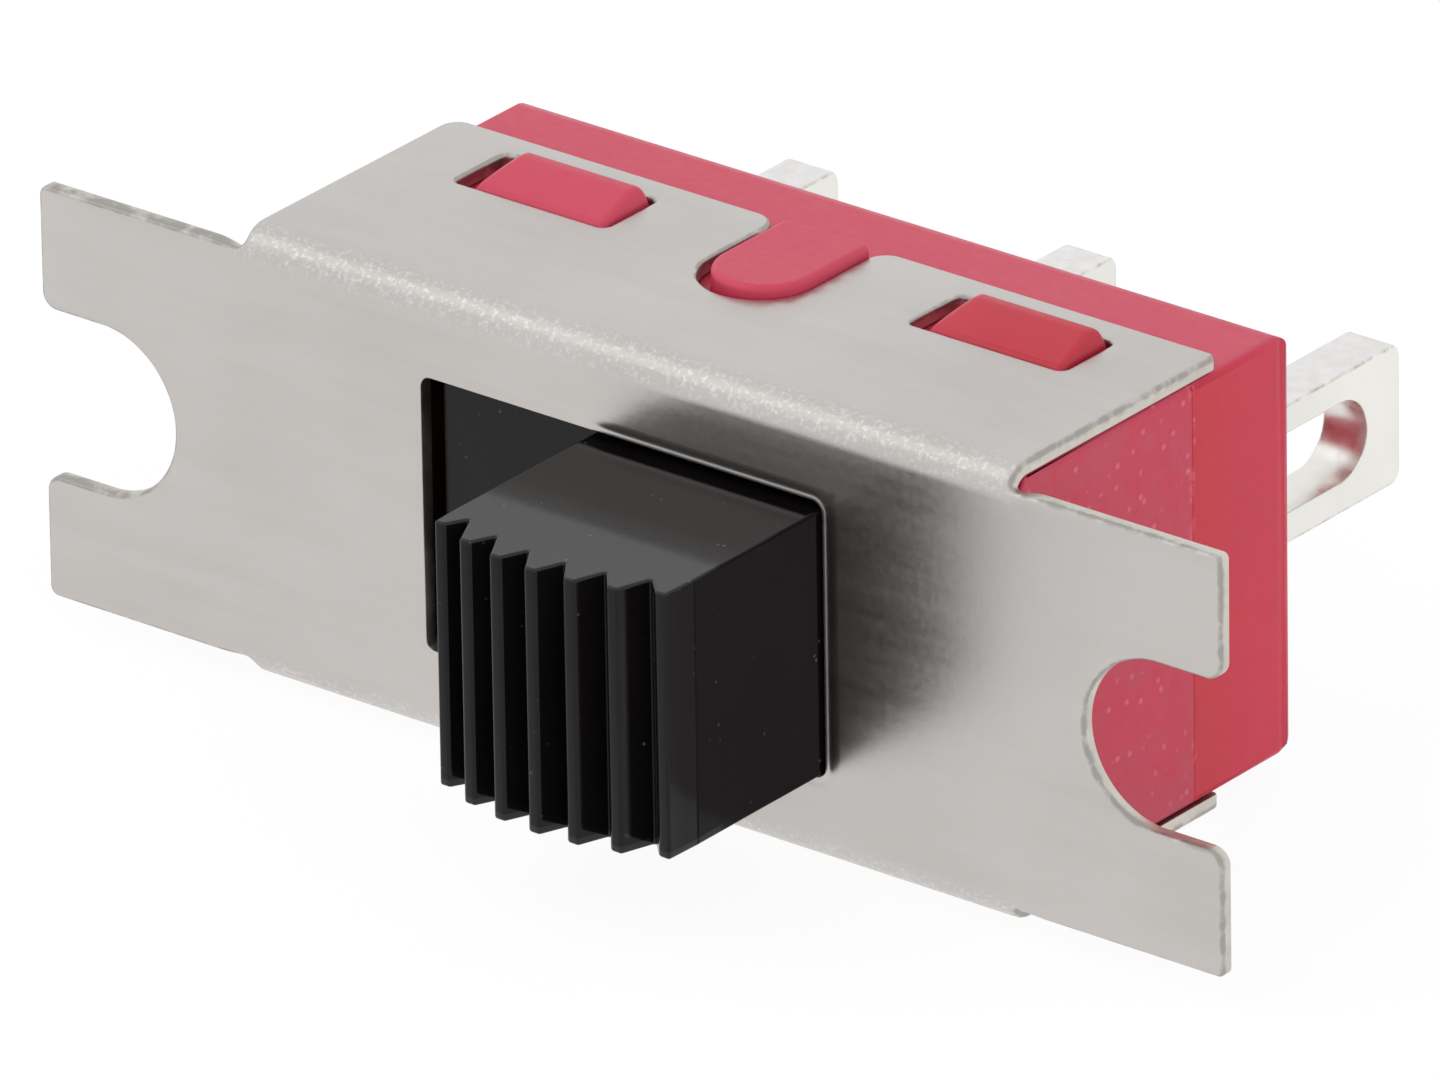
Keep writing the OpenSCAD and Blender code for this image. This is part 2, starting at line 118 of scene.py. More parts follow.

# Colours of the finishes, as red, green, blue and alpha
# The stretched steel colour is partly a painted highlight: pale glints on the folds
STEEL = {"dark": (0.505, 0.48, 0.46, 1), "light": (0.56, 0.54, 0.52, 1), "rolled": (0.60, 0.585, 0.565, 1),
         "stretched": (0.78, 0.77, 0.75, 1), "rim": (0.36, 0.345, 0.325, 1), "sheared": (0.54, 0.51, 0.455, 1),
         "torn": (0.66, 0.635, 0.58, 1)}
# Of the reds, the pale one is a painted sheen on the case's top, the ramp one is painted shade on the right ramp, and
# the dark brown one is painted shade inside the cavity
RED = {"deep": (0.56, 0.009, 0.044, 1), "bright": (0.64, 0.017, 0.062, 1), "warm": (0.56, 0.004, 0.016, 1),
       "pale": (0.575, 0.046, 0.096, 1), "ramp": (0.475, 0.008, 0.024, 1), "painted_cavity_shade": (0.2, 0.12, 0.09, 1),
       "scuffed": (0.49, 0.085, 0.135, 1), "speck": (0.86, 0.26, 0.33, 1)}
BLACK = {"deep": (0.0036, 0.0026, 0.0029, 1), "bright": (0.006, 0.0045, 0.005, 1), "dust": (0.30, 0.29, 0.28, 1)}
SILVER = {"dull": (0.76, 0.745, 0.70, 1), "bright": (0.85, 0.84, 0.80, 1), "edge": (0.825, 0.805, 0.805, 1),
          "stain": (0.36, 0.34, 0.29, 1)}

# Soft lights: direction, distance and side in metres, radiance where 1 is white, and whether mirrors show them
LAMPS = {
    "top_softbox": ((-0.56, -0.43, 0.71), 0.26, 0.26, 1.25, False),
    "softbox_glare": ((-0.56, -0.40, 0.73), 0.24, 0.12, 0.35, True),
    "right_fill": ((0.8, -0.35, 0.45), 0.35, 0.3, 1.1, False),
}


# ---------------------------------------------------------------- mesh helpers

def solid_copy(node, name):
    """The CAD node's solid as a new object, its loose triangles merged into whole flat faces.

    A cut along the middle plane keeps faces that have holes from becoming rings.
    """
    mesh = frame["nodes"][node].data.copy()
    mesh.name = name
    shape = bmesh.new()
    shape.from_mesh(mesh)
    bmesh.ops.remove_doubles(shape, verts=shape.verts, dist=2e-7)
    whole = list(shape.verts) + list(shape.edges) + list(shape.faces)
    halved = bmesh.ops.bisect_plane(shape, geom=whole, dist=1e-8, plane_co=(0, 0, 0), plane_no=(0, 0, 1))
    for part in halved["geom_cut"]:
        if isinstance(part, bmesh.types.BMEdge):
            part.seam = True
    bmesh.ops.dissolve_limit(shape, angle_limit=math.radians(0.5), verts=shape.verts, edges=shape.edges,
                             delimit={"SEAM"})
    shape.to_mesh(mesh)
    shape.free()
    mesh.materials.clear()
    return add_object(name, mesh)


def add_object(name, mesh):
    piece = bpy.data.objects.new(name, mesh)
    bpy.context.scene.collection.objects.link(piece)
    return piece


def apply_modifiers(piece):
    """Turns the piece and its modifiers into one plain mesh."""
    bpy.context.view_layer.update()
    graph = bpy.context.evaluated_depsgraph_get()
    mesh = bpy.data.meshes.new_from_object(piece.evaluated_get(graph))
    piece.modifiers.clear()
    piece.data = mesh
    mesh.name = piece.name
    return piece


def weigh_edges(piece, angle, kept_sharp):
    """Bevel weights: 1 on each edge sharper than the angle, but 0 where kept_sharp says so of its middle."""
    shape = bmesh.new()
    shape.from_mesh(piece.data)
    weights = shape.edges.layers.float
    layer = weights.get("bevel_weight_edge") or weights.new("bevel_weight_edge")
    for edge in shape.edges:
        turn = edge.calc_face_angle(0.0)
        middle = (edge.verts[0].co + edge.verts[1].co) / 2 / MM
        edge[layer] = 1.0 if turn > math.radians(angle) and not kept_sharp(middle) else 0.0
    shape.to_mesh(piece.data)
    shape.free()


def round_edges(piece, width, segments=3, angle=32, kept_sharp=None):
    """Rounds the edges sharper than the angle, apart from those that kept_sharp leaves out."""
    bevel = piece.modifiers.new("Rounded edges", "BEVEL")
    bevel.width = width * MM
    bevel.segments = segments
    bevel.limit_method = "ANGLE"
    bevel.angle_limit = math.radians(angle)
    if kept_sharp:
        weigh_edges(piece, angle, kept_sharp)
        bevel.limit_method = "WEIGHT"
    bevel.use_clamp_overlap = False
    bevel.miter_outer = "MITER_ARC"
    return apply_modifiers(piece)


def smooth(piece, sharp_angle=33):
    """Smooth shading that follows the large faces. Edges past the angle stay sharp, and without one none do."""
    piece.data.shade_smooth()
    if sharp_angle:
        piece.data.set_sharp_from_angle(angle=math.radians(sharp_angle))
    weigh = piece.modifiers.new("Weighted normals", "WEIGHTED_NORMAL")
    weigh.keep_sharp = True
    return apply_modifiers(piece)


def dress(piece, *materials):
    piece.data.materials.clear()
    for material in materials:
        piece.data.materials.append(material)
    return piece


def place(piece, body, slot, *nodes):
    """Puts the piece on its body, in place of the CAD nodes; the slot is not used."""
    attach(piece, body)
    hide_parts(*nodes)
    return piece


# ------------------------------------------------------------ material helpers

class Finish:
    """A procedural material while it is being made."""

    def __init__(self, name, **sockets):
        self.material = bpy.data.materials.new(name)
        self.material.use_nodes = True
        self.tree = self.material.node_tree
        self.shader = self.tree.nodes["Principled BSDF"]
        self.place = self.add("ShaderNodeTexCoord").outputs["Object"]
        for socket, value in sockets.items():
            self.shader.inputs[socket.replace("_", " ")].default_value = value

    def add(self, kind, **settings):
        node = self.tree.nodes.new(kind)
        for name, value in settings.items():
            setattr(node, name, value)
        return node

    def wire(self, source, socket):
        if isinstance(source, (int, float, tuple)):
            socket.default_value = source
        else:
            self.tree.links.new(source, socket)

    def stretched(self, scale):
        node = self.add("ShaderNodeMapping")
        node.inputs["Scale"].default_value = scale
        self.wire(self.place, node.inputs["Vector"])
        return node.outputs["Vector"]

    def noise(self, scale, detail=3.0, roughness=0.55, place=None):
        node = self.add("ShaderNodeTexNoise")
        node.inputs["Scale"].default_value = scale
        node.inputs["Detail"].default_value = detail
        node.inputs["Roughness"].default_value = roughness
        self.wire(place or self.place, node.inputs["Vector"])
        return node.outputs["Fac"]

    def spots(self, scale):
        node = self.add("ShaderNodeTexVoronoi")
        node.inputs["Scale"].default_value = scale
        self.wire(self.place, node.inputs["Vector"])
        return node.outputs["Distance"]

    def stored(self, name):
        return self.add("ShaderNodeAttribute", attribute_name=name).outputs["Fac"]

    def math(self, operation, a, b=0.0, clamp=False):
        node = self.add("ShaderNodeMath", operation=operation, use_clamp=clamp)
        self.wire(a, node.inputs[0])
        self.wire(b, node.inputs[1])
        return node.outputs[0]

    def span(self, value, low, high, to_low=0.0, to_high=1.0):
        node = self.add("ShaderNodeMapRange")
        for socket, number in zip(("From Min", "From Max", "To Min", "To Max"), (low, high, to_low, to_high)):
            node.inputs[socket].default_value = number
        self.wire(value, node.inputs["Value"])
        return node.outputs["Result"]

    def across(self, value, low, high, to_low=0.0, to_high=1.0):
        """A span between two places, in millimetres."""
        return self.span(value, low * MM, high * MM, to_low, to_high)

    def spread(self, noise, to_low=0.0, to_high=1.0):
        """The middle part of a noise, drawn out from one number to another."""
        return self.span(noise, 0.3, 0.7, to_low, to_high)

    def times(self, a, b):
        return self.math("MULTIPLY", a, b)

    def absolute(self, value):
        return self.math("ABSOLUTE", value)

    def axes(self):
        node = self.add("ShaderNodeSeparateXYZ")
        self.wire(self.place, node.inputs[0])
        return node.outputs

    def blend(self, share, a, b):
        node = self.add("ShaderNodeMix", data_type="RGBA")
        self.wire(share, node.inputs["Factor"])
        self.wire(a, node.inputs[6])
        self.wire(b, node.inputs[7])
        return node.outputs[2]

    def bump(self, height, strength, depth, under=None):
        node = self.add("ShaderNodeBump")
        node.inputs["Strength"].default_value = strength
        node.inputs["Distance"].default_value = depth
        self.wire(height, node.inputs["Height"])
        if under is not None:
            self.wire(under, node.inputs["Normal"])
        return node.outputs["Normal"]

    def set(self, **links):
        for socket, source in links.items():
            self.wire(source, self.shader.inputs[socket.replace("_", " ")])
        return self.material


def rolled_rim(f):
    """Where the sheet's dull, rolled-over rim lies, with an uneven border and gaps."""
    uneven = f.span(f.noise(3800, 4.0, 0.6), 0.36, 0.62, 0.45, 1.25)
    return f.span(f.times(f.stored("rim"), uneven), 0.35, 0.9)


def satin_sheet():
    """Rolled stainless sheet, duller on the rolled-over rim and speckled where it is stretched over a fold, its pale
    specks there also painted glints of the fold's highlight.
    """
    f = Finish("satin_sheet", Metallic=1.0)
    rolled = f.noise(1.0, 4.0, 0.6, f.stretched((250, 2600, 2600)))
    speckle = f.noise(9000, 3.0, 0.65)
    peel = f.noise(15000, 2.0, 0.7)
    tone = f.blend(f.spread(f.noise(260, 3.0, 0.5)), STEEL["dark"], STEEL["light"])
    plain = f.blend(f.span(rolled, 0.3, 0.75, 0.0, 0.5), tone, STEEL["rolled"])
    # Pale specks across the middle of each fold: stretch marks, and also painted glints of the fold's highlight
    stretched = f.times(f.stored("fold_share"), f.span(peel, 0.5, 0.72))
    peel_and_glint = f.blend(f.times(stretched, 0.8), plain, STEEL["stretched"])
    colour = f.blend(rolled_rim(f), peel_and_glint, STEEL["rim"])
    rough = f.math("ADD", f.span(rolled, 0.2, 0.8, 0.28, 0.36), f.spread(speckle, -0.03, 0.03))
    fine = f.bump(f.times(peel, f.stored("fold_share")), 0.6, 8e-6, f.bump(speckle, 0.35, 4e-6))
    return f.set(Base_Color=colour, Roughness=rough, Normal=f.bump(rolled, 0.25, 5e-6, fine))


def cut_edge():
    """The sheet's sheared edge, with the dull rim running onto it."""
    f = Finish("sheared_edge", Metallic=1.0)
    torn = f.noise(2600, 3.0, 0.5)
    light = f.blend(f.spread(torn), STEEL["sheared"], STEEL["torn"])
    colour = f.blend(rolled_rim(f), light, STEEL["rim"])
    return f.set(Base_Color=colour, Roughness=f.spread(torn, 0.34, 0.44),
                 Normal=f.bump(f.noise(12000, 2.0, 0.5), 0.3, 4e-6))


def end_zones(f):
    """Where the case's ends lie, their dull part in front of the step, and the strip along the step."""
    x, y, _ = f.axes()
    on_end = f.across(f.absolute(x), CASE_END_X - 0.09, CASE_END_X - 0.05)
    dull = f.times(on_end, f.across(y, CASE_STEP_Y - 0.03, CASE_STEP_Y, 1.0, 0.0))
    step_gap = f.absolute(f.math("SUBTRACT", y, STEP_STRIP_Y * MM))
    return on_end, dull, f.times(f.across(step_gap, 0.02, 0.09, 1.0, 0.0), on_end)


def end_specks(f, dull, along_step):
    """Pale specks on the dull part of the case's ends, closest together along the step."""
    shower = f.math("ADD", f.times(dull, 0.6), along_step, clamp=True)
    dots = f.times(f.span(f.spots(4000), 0.07, 0.24, 1.0, 0.0), f.span(f.noise(2100, 2.0), 0.4, 0.48))
    crumbs = f.times(f.span(f.noise(4200, 3.0, 0.6), 0.54, 0.66, 0.0, 0.4), along_step)
    return f.math("MAXIMUM", f.times(dots, shower), crumbs)


def red_tones(f, cloud, on_end, dull):
    """The red before its wear: warmer behind the step, paler on top as a painted sheen, deeper on the right ramp as
    painted shade, and darkened inside the cavity as painted shade.
    """
    x, y, z = f.axes()
    height, top = f.absolute(z), CASE_CORNER["half_height"]
    even = f.blend(f.spread(cloud), RED["deep"], RED["bright"])
    behind = f.times(f.across(y, STEP_STRIP_Y, CASE_STEP_Y + 1.3, 1.0, 0.0), f.math("SUBTRACT", on_end, dull))
    warm = f.blend(f.times(behind, 0.8), even, RED["warm"])
    # Painted sheen: the case's top faces turn a paler red, in cloudy patches
    painted_sheen_on_top = f.across(height, top - 0.13, top - 0.02)
    pale = f.blend(f.times(painted_sheen_on_top, f.spread(cloud, 0.65, 1.0)), warm, RED["pale"])
    # Painted shade: the ramp on the right is coloured a deeper red, growing towards its outer end
    painted_shade_on_ramp = f.times(f.across(height, top + 0.03, top + 0.13), f.across(x, 1.5, 3.5, 0.0, 0.8))
    before_darkening = f.blend(painted_shade_on_ramp, pale, RED["ramp"])
    # Painted shade: inside the case's cavity the red is darkened nearly to dark brown
    in_cavity = f.times(f.across(f.absolute(x), CAVITY["x"], CAVITY["x"] + 0.1, 1.0, 0.0),
                        f.times(f.across(height, CAVITY["height"], CAVITY["height"] + 0.1, 1.0, 0.0),
                                f.across(y, CAVITY["y"], CAVITY["y"] + 0.2, 1.0, 0.0)))
    return f.blend(f.times(in_cavity, 0.9), before_darkening, RED["painted_cavity_shade"])


def red_moulding():
    """Moulded red plastic. Its ends are scuffed and dull in front of their step, with specks along it."""
    f = Finish("red_moulding", IOR=1.5, Subsurface_Weight=0.06, Subsurface_Scale=0.0004)
    f.shader.inputs["Subsurface Radius"].default_value = (1.0, 0.3, 0.25)
    cloud = f.noise(420, 4.0, 0.55)
    grain = f.noise(6500, 3.0, 0.6)
    on_end, dull, along_step = end_zones(f)
    scuffs = f.times(f.span(f.noise(1300, 5.0, 0.7), 0.4, 0.66, 0.3, 1.0), dull)
    specks = end_specks(f, dull, along_step)
    worn = f.blend(f.times(scuffs, 0.6), red_tones(f, cloud, on_end, dull), RED["scuffed"])
    colour = f.blend(f.times(specks, 0.7), worn, RED["speck"])
    rough = f.math("ADD", f.spread(cloud, 0.38, 0.46), f.spread(grain, -0.05, 0.05))
    rougher = f.math("ADD", rough, f.times(scuffs, 0.12))
    worn_bump = f.bump(f.math("ADD", scuffs, f.times(specks, 2.0)), 0.35, 9e-6)
    return f.set(Base_Color=colour, Roughness=rougher, Normal=f.bump(grain, 0.25, 6e-6, worn_bump))


def knob_gloss(f):
    """How strongly the black mirrors: most on the front of the knob's top, a painted sheen, and least on the knob's
    sides, painted shade.
    """
    x, y, z = f.axes()
    half_width, half_height = KNOB["Width"] / 2, KNOB["Height"] / 2
    from_middle = f.absolute(f.math("SUBTRACT", x, AT_REST[0] * MM))
    behind_line = f.across(y, WITNESS["Depth"] - 0.02, WITNESS["Depth"], 0.5, 1.0)
    out_of_panel = f.times(f.across(y, 0.0, 0.1, 1.0, 0.0), behind_line)
    # Painted shade: the knob's sides mirror less, so they look darker
    on_side = f.times(out_of_panel, f.across(from_middle, half_width - 0.03, half_width - 0.01, 0.0, -0.135))
    # Painted sheen: the front of the knob's top mirrors more than its back
    painted_sheen_on_top = f.times(f.across(f.absolute(z), half_height - 0.08, half_height - 0.06),
                     f.across(y, KNOB_SHEEN_END - 0.08, KNOB_SHEEN_END + 0.08, 0.16, 0.0))
    return f.math("ADD", f.math("ADD", painted_sheen_on_top, 0.22), on_side)


def black_moulding():
    """Black moulded plastic with a few pale specks of dust."""
    f = Finish("black_moulding", IOR=1.5)
    grain = f.noise(9000, 3.0, 0.6)
    dust = f.times(f.span(f.spots(5200), 0.04, 0.16, 1.0, 0.0), f.span(f.noise(1700, 3.0, 0.6), 0.56, 0.66))
    plain = f.blend(f.spread(f.noise(500, 3.0, 0.5)), BLACK["deep"], BLACK["bright"])
    colour = f.blend(f.times(dust, 0.35), plain, BLACK["dust"])
    return f.set(Base_Color=colour, Roughness=f.spread(grain, 0.08, 0.13), Specular_IOR_Level=knob_gloss(f),
                 Normal=f.bump(grain, 0.15, 3e-6))


def silver_plating():
    """Satin silver plating. The lugs' narrow sides have their own tone, with stains along them and at the tip."""
    f = Finish("silver_plating", Metallic=1.0)
    satin = f.noise(5200, 4.0, 0.6)
    plain = f.blend(f.spread(f.noise(320, 3.0, 0.5)), SILVER["dull"], SILVER["bright"])
    _, y, z = f.axes()
    height, narrow_side, tip = f.absolute(z), LUG["half_width"], LUG["tip"]
    before_darkening = f.blend(f.across(height, narrow_side - 0.015, narrow_side - 0.003), plain, SILVER["edge"])
    edge_gap = f.absolute(f.math("SUBTRACT", height, (narrow_side - 0.025) * MM))
    along_edge = f.times(f.across(edge_gap, 0.005, 0.03, 1.0, 0.0), f.span(f.noise(4200, 4.0, 0.65), 0.36, 0.6))
    stained = f.math("MAXIMUM", along_edge, f.across(y, tip - 0.05, tip - 0.01, 0.0, 0.5))
    colour = f.blend(f.times(stained, 0.7), before_darkening, SILVER["stain"])
    return f.set(Base_Color=colour, Roughness=f.spread(satin, 0.26, 0.38), Normal=f.bump(satin, 0.3, 5e-6))


def spring_wire():
    """Bright drawn wire."""
    f = Finish("spring_wire", Metallic=1.0)
    drawn = f.noise(4200, 3.0, 0.5)
    colour = f.blend(f.spread(drawn), (0.38, 0.38, 0.39, 1), (0.52, 0.52, 0.53, 1))
    return f.set(Base_Color=colour, Roughness=f.spread(drawn, 0.2, 0.34), Normal=f.bump(drawn, 0.2, 4e-6))


def natural_moulding():
    """Undyed low-friction plastic, a little cloudy."""
    f = Finish("natural_moulding", IOR=1.52, Subsurface_Weight=0.15, Subsurface_Scale=0.0006)
    cloud = f.noise(900, 3.0, 0.5)
    colour = f.blend(f.spread(cloud), (0.70, 0.64, 0.47, 1), (0.78, 0.73, 0.58, 1))
    return f.set(Base_Color=colour, Roughness=f.spread(cloud, 0.34, 0.44), Normal=f.bump(cloud, 0.2, 6e-6))


def potting_resin():
    """Cast resin with a glossy, wavy skin."""
    f = Finish("potting_resin", IOR=1.55)
    cloud = f.noise(700, 4.0, 0.6)
    colour = f.blend(f.spread(cloud), (0.16, 0.012, 0.016, 1), (0.24, 0.022, 0.028, 1))
    return f.set(Base_Color=colour, Roughness=f.spread(cloud, 0.16, 0.28), Normal=f.bump(cloud, 0.5, 3e-5))


# -------------------------------------------------------- geometry node helpers

class Recipe:
    """A geometry node tree while it is being made, with its named inputs."""

    def __init__(self, name, lengths=(), counts=(), with_geometry=False):
        self.group = bpy.data.node_groups.new(name, "GeometryNodeTree")
        self.ids = {}
        if with_geometry:
            self.group.interface.new_socket("Geometry", in_out="INPUT", socket_type="NodeSocketGeometry")
        for title, kind in [(n, "NodeSocketFloat") for n in lengths] + [(n, "NodeSocketInt") for n in counts]:
            self.ids[title] = self.group.interface.new_socket(title, in_out="INPUT", socket_type=kind).identifier
        self.ids["Material"] = self.group.interface.new_socket(
            "Material", in_out="INPUT", socket_type="NodeSocketMaterial").identifier
        self.group.interface.new_socket("Geometry", in_out="OUTPUT", socket_type="NodeSocketGeometry")
        self.inputs = self.group.nodes.new("NodeGroupInput").outputs
        self.result = self.group.nodes.new("NodeGroupOutput").inputs["Geometry"]

    def add(self, kind, links=None, **settings):
        node = self.group.nodes.new(kind)
        for name, value in settings.items():
            setattr(node, name, value)
        for socket, source in (links or {}).items():
            self.wire(source, node.inputs[socket])
        return node

    def wire(self, source, socket):
        if isinstance(source, (int, float, tuple, bool, str)):
            socket.default_value = source
        elif isinstance(source, list):
            for one in source:
                self.group.links.new(one, socket)
        else:
            self.group.links.new(source, socket)

    def math(self, operation, a, b=0.0):
        return self.add("ShaderNodeMath", {0: a, 1: b}, operation=operation).outputs[0]

    def times(self, a, b):
        return self.math("MULTIPLY", a, b)

    def pick(self, index, *values):
        """The value at an index from nought."""
        node = self.add("GeometryNodeIndexSwitch", data_type="FLOAT")
        while len(node.index_switch_items) < len(values):
            node.index_switch_items.new()
        self.wire(index, node.inputs["Index"])
        for i, value in enumerate(values):
            self.wire(value, node.inputs[str(i)])
        return node.outputs[0]

    def vector(self, x=0.0, y=0.0, z=0.0):
        return self.add("ShaderNodeCombineXYZ", {"X": x, "Y": y, "Z": z}).outputs[0]

    def close(self, geometry):
        whole = self.add("GeometryNodeRealizeInstances", {"Geometry": geometry})
        painted = self.add("GeometryNodeSetMaterial", {"Geometry": whole.outputs[0],
                                                       "Material": self.inputs["Material"]})
        self.wire(painted.outputs[0], self.result)

    def run(self, piece, numbers, material=None):
        """Runs the recipe once on a piece and leaves its result there as a plain mesh."""
        step = piece.modifiers.new("Recipe", "NODES")
        step.node_group = self.group
        if material:
            step[self.ids["Material"]] = material
        for title, value in numbers.items():
            step[self.ids[title]] = value if isinstance(value, int) else value * MM
        return apply_modifiers(piece)

    def make(self, name, material, numbers):
        return self.run(add_object(name, bpy.data.meshes.new(name)), numbers, material)


def crown_depth(r, x):
    """The depth of the knob's round crown at x."""
    radius, reach = r.inputs["Crown Radius"], r.inputs["Reach"]
    square = r.math("SUBTRACT", r.times(radius, radius), r.times(x, x))
    return r.math("SUBTRACT", r.math("SUBTRACT", radius, reach), r.math("SQRT", square))


def knob_outline(r, plate_mid):
    """Points round the knob: three for each rib and its groove, along the crown, then its sides down to the plate."""
    i = r.inputs
    count = r.math("SUBTRACT", r.times(i["Ribs"], 3), 1)
    line = r.add("GeometryNodeMeshLine", {"Count": r.math("ADD", count, 4)})
    index = r.add("GeometryNodeInputIndex").outputs[0]
    rib, corner = r.math("FLOOR", r.math("DIVIDE", index, 3)), r.math("MODULO", index, 3)
    half_land = r.times(i["Land"], 0.5)
    half_count = r.times(r.math("SUBTRACT", i["Ribs"], 1), 0.5)
    rib_x = r.times(r.math("SUBTRACT", rib, half_count), i["Pitch"])
    x = r.math("ADD", rib_x, r.pick(corner, r.times(half_land, -1), half_land, r.math("ADD", half_land, i["Steep"])))
    y = r.math("ADD", crown_depth(r, r.pick(corner, rib_x, rib_x, x)), r.pick(corner, 0.0, 0.0, i["Depth"]))
    side = r.math("ADD", crown_depth(r, r.times(half_count, i["Pitch"])), i["Side"])
    right = r.times(i["Width"], 0.5)
    left = r.times(right, -1)
    tail = r.math("SUBTRACT", index, count)
    on_tail = r.vector(r.pick(tail, right, right, left, left), r.pick(tail, side, plate_mid, plate_mid, side))
    chosen = r.add("GeometryNodeSwitch", {"Switch": r.math("LESS_THAN", index, count), "False": on_tail,
                                          "True": r.vector(x, y)}, input_type="VECTOR")
    return r.add("GeometryNodeSetPosition", {"Geometry": line.outputs[0], "Position": chosen.outputs[0]}).outputs[0]


def drawn_out(r, outline, height):
    """A closed block: an outline filled flat and drawn out along Z, half of its height to each side."""
    curve = r.add("GeometryNodeMeshToCurve", {"Mesh": outline})
    ring = r.add("GeometryNodeSetSplineCyclic", {"Geometry": curve.outputs[0], "Cyclic": True})
    filled = r.add("GeometryNodeFillCurve", {"Curve": ring.outputs[0]}, mode="NGONS")
    flat = r.add("GeometryNodeTransform", {"Geometry": filled.outputs[0],
                                           "Translation": r.vector(0.0, 0.0, r.times(height, -0.5))})
    raised = r.add("GeometryNodeExtrudeMesh", {"Mesh": flat.outputs[0], "Offset": r.vector(0.0, 0.0, height),
                                               "Offset Scale": 1.0, "Individual": False})
    under = r.add("GeometryNodeFlipFaces", {"Mesh": flat.outputs[0]})
    both = r.add("GeometryNodeJoinGeometry", {0: [raised.outputs[0], under.outputs[0]]})
    return r.add("GeometryNodeMergeByDistance", {"Geometry": both.outputs[0], "Distance": 1e-7}).outputs[0]


def round_bar(r, radius, front, back, sides):
    """A round bar along Y."""
    length = r.math("SUBTRACT", back, front)
    bar = r.add("GeometryNodeMeshCylinder", {"Vertices": sides, "Radius": radius, "Depth": length})
    middle = r.vector(0.0, r.math("ADD", front, r.times(length, 0.5)), 0.0)
    return r.add("GeometryNodeTransform", {"Geometry": bar.outputs[0], "Translation": middle,
                                           "Rotation": (math.pi / 2, 0.0, 0.0)}).outputs[0]


def knob_recipe():
    """The knob: a block with ribs on a round crown, joined to its slider plate and its bored hub."""
    r = Recipe("ribbed_knob", KNOB, ["Ribs"])
    i = r.inputs
    plate_mid = r.math("ADD", i["Plate Front"], r.times(i["Plate Thickness"], 0.5))
    block = drawn_out(r, knob_outline(r, plate_mid), i["Height"])
    slab = r.add("GeometryNodeMeshCube", {"Size": r.vector(i["Plate Length"], i["Plate Thickness"], i["Plate Height"])})
    plate = r.add("GeometryNodeTransform", {"Geometry": slab.outputs[0], "Translation": r.vector(0.0, plate_mid, 0.0)})
    hub = round_bar(r, i["Hub Radius"], plate_mid, i["Hub Back"], 64)
    bore = round_bar(r, i["Bore Radius"], r.times(i["Bore Front"], -1), r.math("ADD", i["Hub Back"], 0.001), 48)
    joined = r.add("GeometryNodeMeshBoolean", {"Mesh 2": [block, plate.outputs[0], hub]}, operation="UNION")
    bored = r.add("GeometryNodeMeshBoolean", {"Mesh 1": joined.outputs[0], "Mesh 2": [bore]}, operation="DIFFERENCE")
    r.close(bored.outputs[0])
    return r


def witness_recipe():
    """Two fine lines down the knob's sides, where the halves of its mould met."""
    r = Recipe("witness_lines", WITNESS, with_geometry=True)
    i = r.inputs
    rod = r.add("GeometryNodeMeshCylinder", {"Vertices": 4, "Radius": i["Size"], "Depth": i["Length"]})
    lines = [r.add("GeometryNodeTransform", {"Geometry": rod.outputs[0], "Translation": r.vector(
        r.times(i["Half Width"], side), i["Depth"])}).outputs[0] for side in (-1, 1)]
    cut = r.add("GeometryNodeMeshBoolean", {"Mesh 1": i["Geometry"], "Mesh 2": lines}, operation="DIFFERENCE",
                solver="EXACT")
    r.close(cut.outputs[0])
    return r


def spring_recipe():
    """A coil of round wire along Y, with a nearly flat turn at each end."""
    r = Recipe("coil_spring", SPRING, ["Turns"])
    i = r.inputs
    wire_r = r.times(i["Wire"], 0.5)
    rise = r.math("SUBTRACT", r.math("SUBTRACT", i["Back"], i["Front"]), i["Wire"])
    coil = r.add("GeometryNodeCurveSpiral", {"Resolution": 40, "Rotations": i["Turns"],
                                             "Start Radius": i["Mean Radius"], "End Radius": i["Mean Radius"],
                                             "Height": 0.0})
    along = r.add("GeometryNodeSplineParameter").outputs["Factor"]
    ease = r.add("ShaderNodeFloatCurve", {"Value": along})
    points = ease.mapping.curves[0].points
    points[0].location, points[1].location = (0, 0), (1, 1)
    for at in ((0.13, 0.045), (0.87, 0.955)):
        points.new(*at)
    ease.mapping.update()
    here = r.add("ShaderNodeSeparateXYZ", {0: r.add("GeometryNodeInputPosition").outputs[0]}).outputs
    y = r.math("ADD", r.math("ADD", i["Front"], wire_r), r.times(rise, ease.outputs[0]))
    laid = r.add("GeometryNodeSetPosition", {"Geometry": coil.outputs[0], "Position": r.vector(here[0], y, here[1])})
    circle = r.add("GeometryNodeCurvePrimitiveCircle", {"Resolution": 12, "Radius": wire_r})
    tube = r.add("GeometryNodeCurveToMesh", {"Curve": laid.outputs[0], "Profile Curve": circle.outputs[0],
                                             "Fill Caps": True})
    r.close(tube.outputs[0])
    return r


# -------------------------------------------------------------------- the pieces

def shift(piece, way):
    piece.data.transform(Matrix.Translation(Vector(way) * MM))
    return piece


def arc(cx, cy, r, start, end, steps=9):
    """Points on an arc, with its angles in degrees, the last one left out."""
    turn = [math.radians(start + (end - start) * k / steps) for k in range(steps)]
    return [(cx + r * math.cos(a), cy + r * math.sin(a)) for a in turn]


def flange_s(y):
    """Where depth y on a flange lies on the flat blank."""
    return FOLD["Fold Start"] + FOLD["Fold Radius"] * (math.pi / 2 - 1) + y


